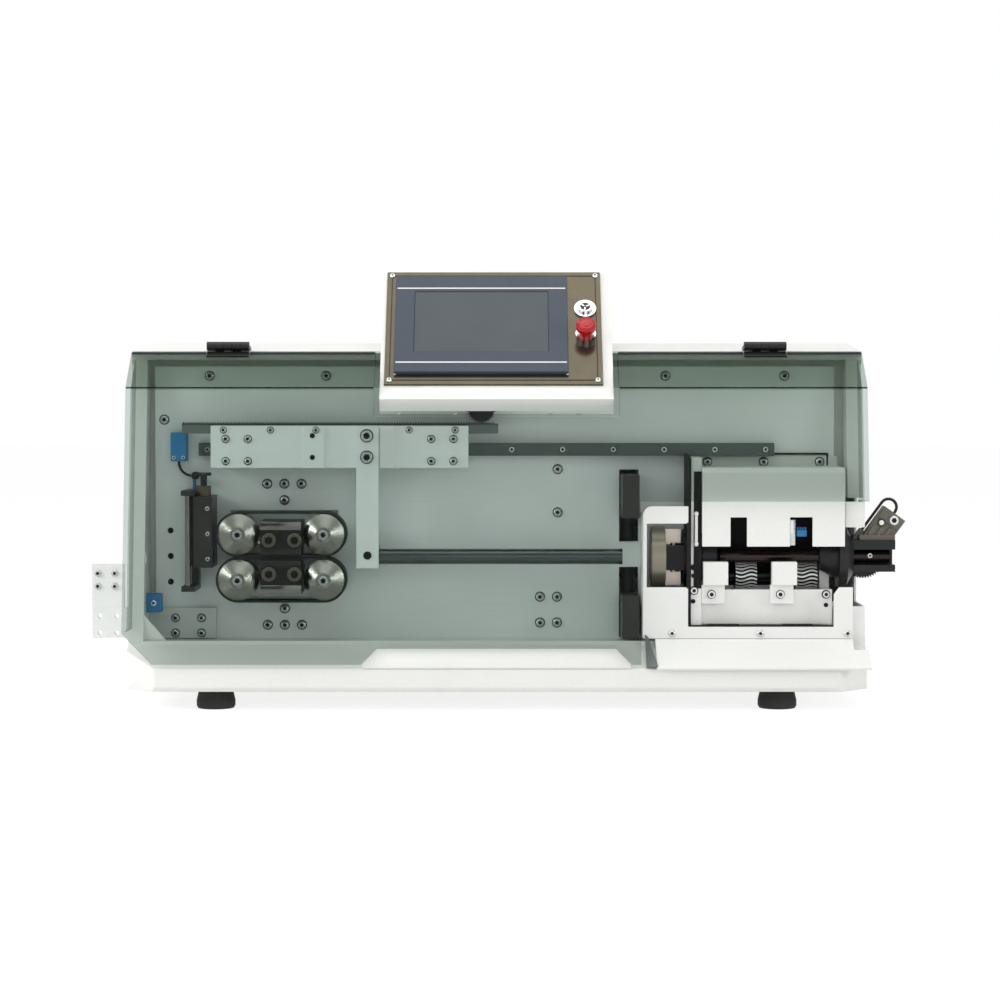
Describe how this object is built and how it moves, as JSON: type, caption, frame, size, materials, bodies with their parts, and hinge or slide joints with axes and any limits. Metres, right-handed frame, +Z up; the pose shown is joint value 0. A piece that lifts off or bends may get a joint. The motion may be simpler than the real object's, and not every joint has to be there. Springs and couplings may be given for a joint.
{
  "type": "wire cutting stripping machine",
  "caption": "Bench-top cable cutting and stripping machine: white cabinet, hinged smoked cover, tilted touch-panel console, belt feeder, rack carriage, clamp jaws and rotary cutting head.",
  "frame": {"origin": "middle of the footprint at floor level, under the feet", "axes": "+X along the wire path to the outfeed, +Y to the back, +Z up"},
  "size_m": [0.9586, 0.392, 0.5212],
  "materials": {
    "white_paint": "powder-coated white, fine texture",
    "rubber": "matte black rubber",
    "bare_alu": "fine-brushed anodised aluminium",
    "tint": "smoked grey-green acrylic",
    "black_metal": "black oxide steel",
    "bronze_plate": "dark bronze mirror plate",
    "bezel": "blue-grey moulded plastic",
    "screen": "unlit display glass",
    "chrome": "polished chrome",
    "red": "glossy red plastic",
    "steel": "turned and ground steel",
    "dark_steel": "dark induction-hardened steel",
    "gloss_black": "glossy black tube",
    "belt": "black toothed belt",
    "blue": "blue moulded plastic",
    "dark_block": "dark anodised block",
    "brown_tube": "dark brown oxide tube",
    "disc": "brownish hardened steel",
    "motor": "black motor body",
    "brass": "bronze",
    "grey_cast": "grey die-cast"
  },
  "bodies": {
    "cabinet": {"base_tray": "white_paint", "feet": "rubber", "housing": "white_paint", "left_panel": "white_paint", "left_jamb": "white_paint", "mounting_plate": "bare_alu", "back_panel": "white_paint", "chute": "white_paint", "hinge_leaves_cabinet": "black_metal", "console_box": "white_paint", "console_plate": "bronze_plate", "panel_bezel": "bezel", "panel_screen": "screen", "button_collars": "chrome", "linear_rail": "dark_steel", "fixed_motors": "motor", "feed_guides": "steel", "plate_screws": "steel", "inlet_plate": "bare_alu", "inlet_block": "dark_block", "sensors": "blue", "sensor_lead": "rubber", "lead_gland": "rubber", "exit_sensor": "grey_cast", "exit_lead": "rubber", "jaw_rod": "black_metal", "head_shroud": "white_paint", "bearing_plates": "white_paint", "support_blocks": "white_paint", "head_belt": "belt", "hood": "white_paint", "exit_tube": "brown_tube", "exit_unit": "black_metal", "control_unit": "motor"},
    "cover": {"cover": "tint", "hinge_leaves_cover": "black_metal"},
    "power_button": {"power_button": "chrome"},
    "estop_button": {"estop_button": "red"},
    "carriage": {"runner_blocks": "steel", "carriage_plate": "bare_alu", "rack": "dark_steel", "hanging_arm": "bare_alu", "tube_holder": "dark_block", "guide_tube": "gloss_black"},
    "pinion": {"pinion": "black_metal"},
    "feed_upper": {"feed_slide_upper": "dark_block", "feed_belt_upper": "belt", "feed_motor_upper": "motor"},
    "feed_lower": {"feed_slide_lower": "dark_block", "feed_belt_lower": "belt", "feed_motor_lower": "motor"},
    "pulley_upper_left": {"pulley_upper_left": "steel"},
    "pulley_upper_right": {"pulley_upper_right": "steel"},
    "pulley_lower_left": {"pulley_lower_left": "steel"},
    "pulley_lower_right": {"pulley_lower_right": "steel"},
    "inlet_roller_front": {"inlet_roller_front": "steel"},
    "inlet_roller_back": {"inlet_roller_back": "steel"},
    "clamp_screw": {"clamp_screw": "brass"},
    "jaw_upper": {"jaw_upper": "dark_block"},
    "jaw_lower": {"jaw_lower": "dark_block"},
    "blade_rotor": {"blade_rotor": "disc"},
    "blade_upper": {"blade_upper": "steel"},
    "blade_lower": {"blade_lower": "steel"},
    "gear_shaft": {"gear_shaft": "steel"},
    "exit_gear": {"exit_gear": "black_metal"}
  },
  "joints": [
    {"name": "cover_hinge", "type": "hinge", "parent": "cabinet", "child": "cover", "pos_m": [0, -0.093, 0.42], "axis": [-1, 0, 0], "range_deg": [0, 100]},
    {"name": "power_press", "type": "slide", "parent": "cabinet", "child": "power_button", "axis": [0, 0.766, -0.6428], "range_m": [0, 0.0025], "stiffness_N_per_m": 300, "springref_m": -0.002},
    {"name": "estop_press", "type": "slide", "parent": "cabinet", "child": "estop_button", "axis": [0, 0.766, -0.6428], "range_m": [0, 0.004], "stiffness_N_per_m": 400, "springref_m": -0.002},
    {"name": "carriage_slide", "type": "slide", "parent": "cabinet", "child": "carriage", "axis": [1, 0, 0], "range_m": [0, 0.045]},
    {"name": "pinion_spin", "type": "hinge", "parent": "cabinet", "child": "pinion", "pos_m": [-0.018, -0.096, 0.346], "axis": [0, -1, 0], "range_deg": [0, 161.14]},
    {"name": "feed_upper_slide", "type": "slide", "parent": "cabinet", "child": "feed_upper", "axis": [0, 0, 1], "range_m": [0, 0.012]},
    {"name": "feed_lower_slide", "type": "slide", "parent": "cabinet", "child": "feed_lower", "axis": [0, 0, 1], "range_m": [-0.012, 0]},
    {"name": "pulley_upper_right_spin", "type": "hinge", "parent": "feed_upper", "child": "pulley_upper_right", "pos_m": [-0.202, -0.111, 0.19975], "axis": [0, -1, 0], "continuous": true},
    {"name": "pulley_upper_left_spin", "type": "hinge", "parent": "feed_upper", "child": "pulley_upper_left", "pos_m": [-0.302, -0.111, 0.19975], "axis": [0, -1, 0], "continuous": true},
    {"name": "pulley_lower_right_spin", "type": "hinge", "parent": "feed_lower", "child": "pulley_lower_right", "pos_m": [-0.202, -0.111, 0.14625], "axis": [0, -1, 0], "continuous": true},
    {"name": "pulley_lower_left_spin", "type": "hinge", "parent": "feed_lower", "child": "pulley_lower_left", "pos_m": [-0.302, -0.111, 0.14625], "axis": [0, -1, 0], "continuous": true},
    {"name": "inlet_roller_front_spin", "type": "hinge", "parent": "cabinet", "child": "inlet_roller_front", "pos_m": [-0.361, -0.123, 0.173], "axis": [0, 0, 1], "continuous": true},
    {"name": "inlet_roller_back_spin", "type": "hinge", "parent": "cabinet", "child": "inlet_roller_back", "pos_m": [-0.361, -0.099, 0.173], "axis": [0, 0, 1], "continuous": true},
    {"name": "clamp_screw_turn", "type": "hinge", "parent": "cabinet", "child": "clamp_screw", "pos_m": [-0.343, -0.116, 0.25], "axis": [0, 0, 1], "range_deg": [-180, 180]},
    {"name": "jaw_upper_slide", "type": "slide", "parent": "cabinet", "child": "jaw_upper", "axis": [0, 0, -1], "range_m": [0, 0.0445]},
    {"name": "jaw_lower_slide", "type": "slide", "parent": "cabinet", "child": "jaw_lower", "axis": [0, 0, 1], "range_m": [0, 0.0445]},
    {"name": "rotor_spin", "type": "hinge", "parent": "cabinet", "child": "blade_rotor", "pos_m": [0.2, -0.111, 0.173], "axis": [1, 0, 0], "continuous": true},
    {"name": "blade_upper_slide", "type": "slide", "parent": "blade_rotor", "child": "blade_upper", "axis": [0, 0, -1], "range_m": [0, 0.012]},
    {"name": "blade_lower_slide", "type": "slide", "parent": "blade_rotor", "child": "blade_lower", "axis": [0, 0, 1], "range_m": [0, 0.012]},
    {"name": "gear_shaft_spin", "type": "hinge", "parent": "cabinet", "child": "gear_shaft", "pos_m": [0.3, -0.094, 0.149], "axis": [1, 0, 0], "continuous": true},
    {"name": "exit_gear_spin", "type": "hinge", "parent": "cabinet", "child": "exit_gear", "pos_m": [0.433, -0.098, 0.173], "axis": [0, -1, 0], "continuous": true}
  ],
  "couplings": [
    {"joint": "pinion_spin", "follows": "carriage_slide", "rad_per_m": 62.5},
    {"joint": "feed_lower_slide", "follows": "feed_upper_slide", "ratio": -1},
    {"joint": "pulley_upper_left_spin", "follows": "pulley_upper_right_spin", "ratio": 1},
    {"joint": "pulley_lower_right_spin", "follows": "pulley_upper_right_spin", "ratio": -1},
    {"joint": "pulley_lower_left_spin", "follows": "pulley_upper_right_spin", "ratio": -1},
    {"joint": "jaw_lower_slide", "follows": "jaw_upper_slide", "ratio": 1},
    {"joint": "blade_lower_slide", "follows": "blade_upper_slide", "ratio": 1}
  ]
}
